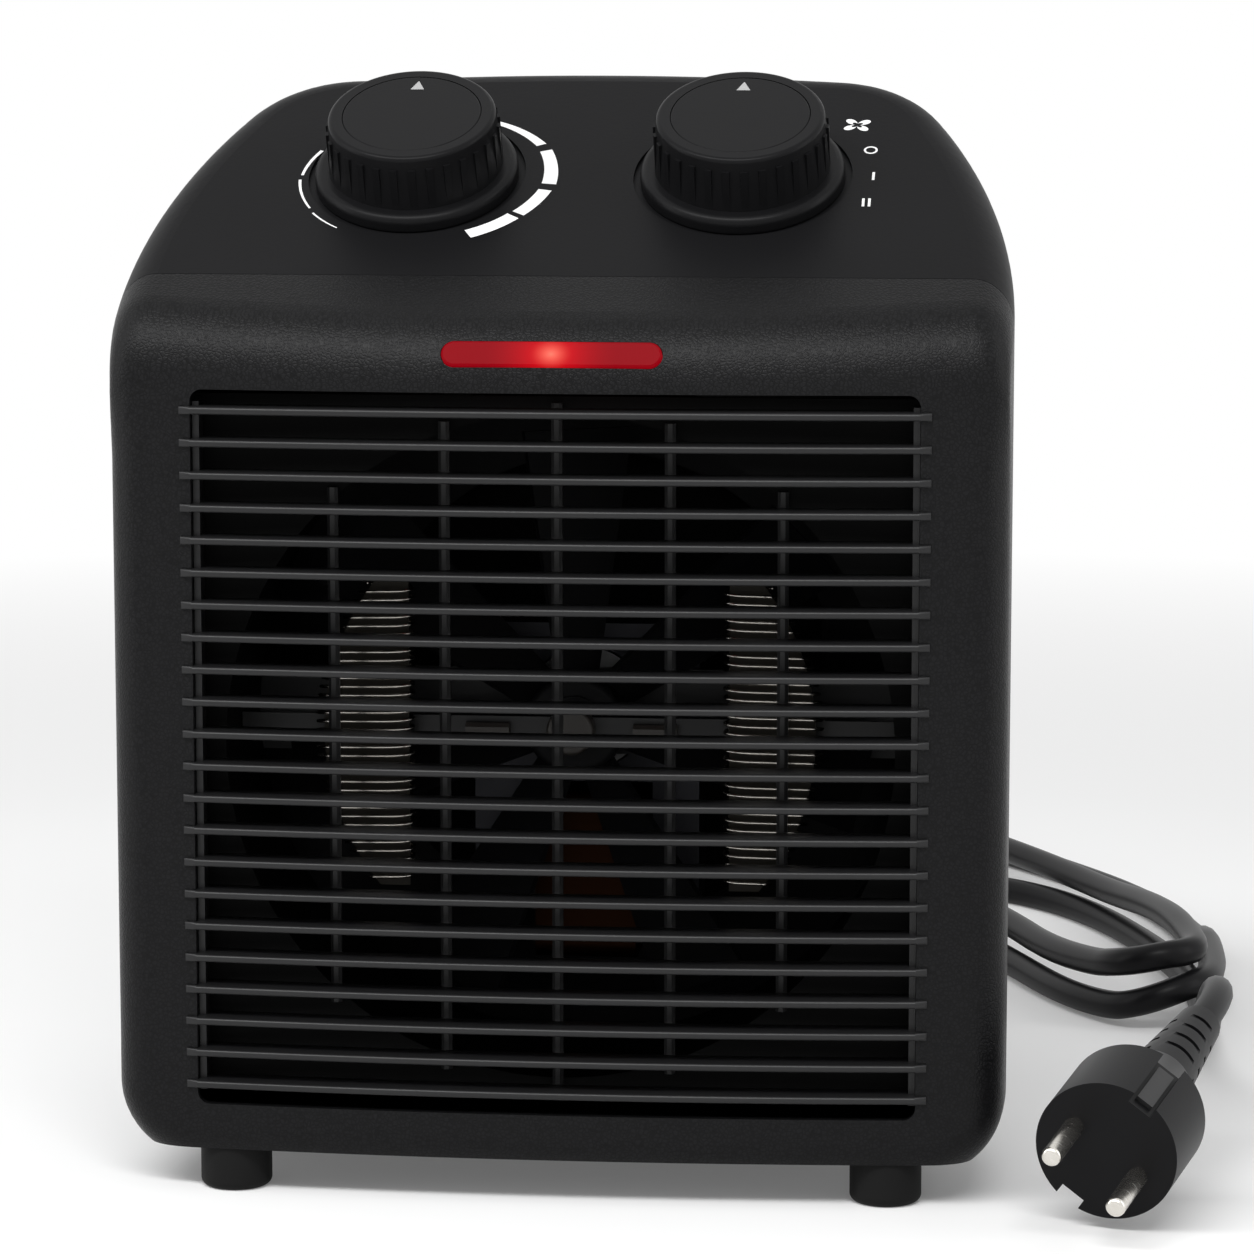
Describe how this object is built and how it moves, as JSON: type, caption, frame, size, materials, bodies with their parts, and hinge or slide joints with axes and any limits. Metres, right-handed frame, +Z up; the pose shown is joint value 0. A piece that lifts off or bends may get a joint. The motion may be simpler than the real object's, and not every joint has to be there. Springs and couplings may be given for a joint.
{
  "type": "fan heater",
  "caption": "Upright fan heater with a louvred front, sloping panel with two turning knobs, signal lamp, fan behind wound heating element, and a mains cord with a two-pin plug",
  "frame": {"origin": "middle of the footprint, on the floor under the feet", "axes": "+Z up, +Y towards the back, the louvred front faces -Y, +X to the right seen from the front"},
  "size_m": [0.278, 0.5273, 0.2732],
  "materials": {
    "front_shell": "black moulded plastic with a fine leather grain",
    "rear_shell": "black moulded plastic, satin",
    "grille": "black heat-proof plastic",
    "inner_plastic": "dark grey heat-proof plastic",
    "knob": "black satin plastic",
    "lens": "red translucent plastic",
    "lamp": "neon lamp glass",
    "steel": "zinc-plated steel",
    "laminations": "varnished steel laminations",
    "rotor": "cast rotor",
    "copper": "enamelled wire",
    "heating_wire": "heating wire, dark and shiny",
    "mica": "mica sheet",
    "protection": "moulded cut-out and sleeved fuses",
    "fan": "dark moulded plastic",
    "control": "moulded controls",
    "foot": "black rubber",
    "cord": "black flexible cord sheath",
    "plug": "black moulded plug",
    "pins": "nickel-plated brass"
  },
  "bodies": {
    "case": {"air_baffle": "inner_plastic", "air_duct": "inner_plastic", "baffle_screws": "steel", "case_screws": "steel", "cord_gland": "cord", "cord_lead": "cord", "cord_loops": "cord", "cord_tail": "cord", "foot_front_left": "foot", "foot_front_right": "foot", "foot_rear_left": "foot", "foot_rear_right": "foot", "front_cover": "front_shell", "front_grille": "grille", "guard_rods": "steel", "heater_crossbar": "mica", "heating_coil_left": "heating_wire", "heating_coil_right": "heating_wire", "indicator_lens": "lens", "mica_card_left": "mica", "mica_card_right": "mica", "motor_bracket": "steel", "motor_stator": "laminations", "motor_winding": "copper", "neon_lamp": "lamp", "plug_body": "plug", "plug_boot": "cord", "plug_earth_clips": "pins", "plug_pins": "pins", "rear_bearing": "steel", "rear_cover": "rear_shell", "switch_body": "control", "thermal_cutout": "protection", "thermal_fuses": "protection", "thermostat_body": "control"},
    "thermostat_dial": {"thermostat_knob": "knob", "thermostat_cap": "knob", "thermostat_spindle": "steel"},
    "switch_dial": {"switch_knob": "knob", "switch_cap": "knob", "switch_spindle": "steel"},
    "fan": {"fan_impeller": "fan", "motor_shaft": "steel", "motor_rotor": "rotor"}
  },
  "joints": [
    {"name": "thermostat_turn", "type": "hinge", "parent": "case", "child": "thermostat_dial", "pos_m": [-0.0409, 0.00565, 0.24775], "axis": [0, -0.5, 0.866], "range_deg": [-140, 140]},
    {"name": "switch_turn", "type": "hinge", "parent": "case", "child": "switch_dial", "pos_m": [0.0409, 0.00565, 0.24775], "axis": [0, -0.5, 0.866], "range_deg": [-111, 0]},
    {"name": "fan_spin", "type": "hinge", "parent": "case", "child": "fan", "pos_m": [0, 0.00025, 0.1106], "axis": [0, 1, 0], "continuous": true}
  ]
}
